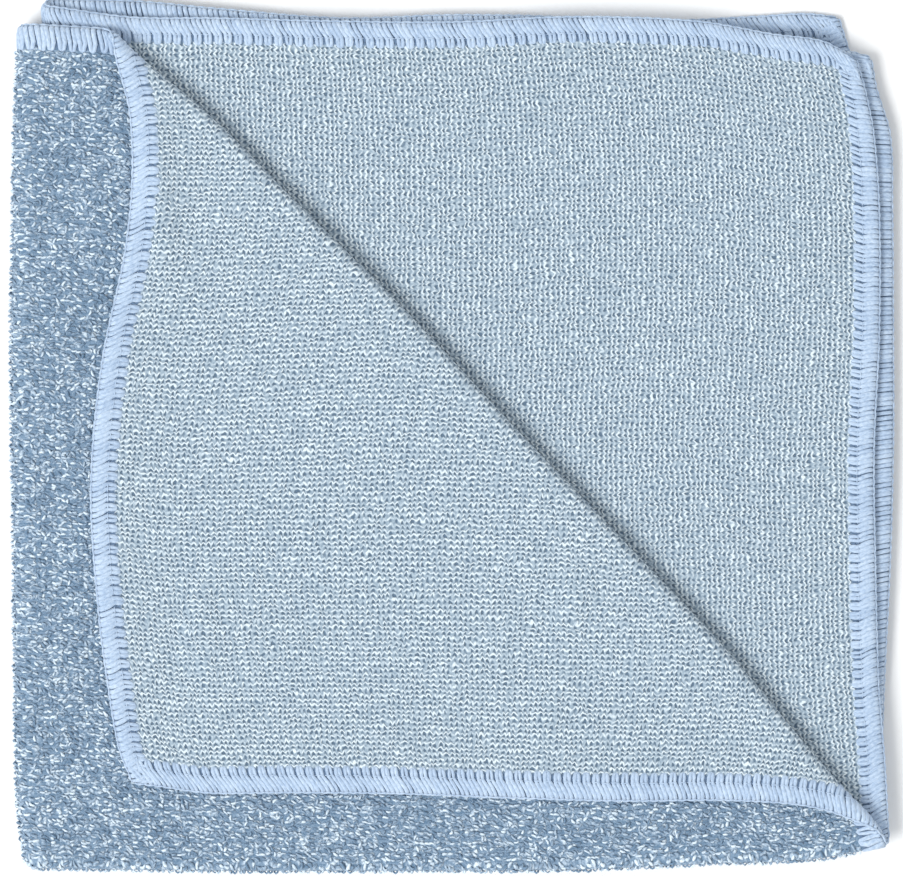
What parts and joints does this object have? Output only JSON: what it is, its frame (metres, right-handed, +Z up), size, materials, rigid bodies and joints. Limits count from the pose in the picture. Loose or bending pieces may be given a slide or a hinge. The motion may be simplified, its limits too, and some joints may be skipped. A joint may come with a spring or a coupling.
{
  "type": "microfibre cloth",
  "caption": "Square two-faced microfibre cleaning cloth with an overlocked hem, folded in quarters with its top corner turned back along the diagonal",
  "frame": {"origin": "centre of the folded cloth's outline on the surface it lies on", "axes": "+Z up through the layers; -X is the outer fold, -Y the inner fold; +X and +Y are the open hems"},
  "size_m": [0.2031, 0.2006, 0.0132],
  "materials": {
    "cloth": "soft pale blue microfibre, looped pile on one face and a fine zigzag warp knit on the other",
    "hem_thread": "fluffy textured polyester overlock thread, lighter and slightly lilac"
  },
  "bodies": {
    "root": {"cloth": "cloth"}
  },
  "joints": []
}
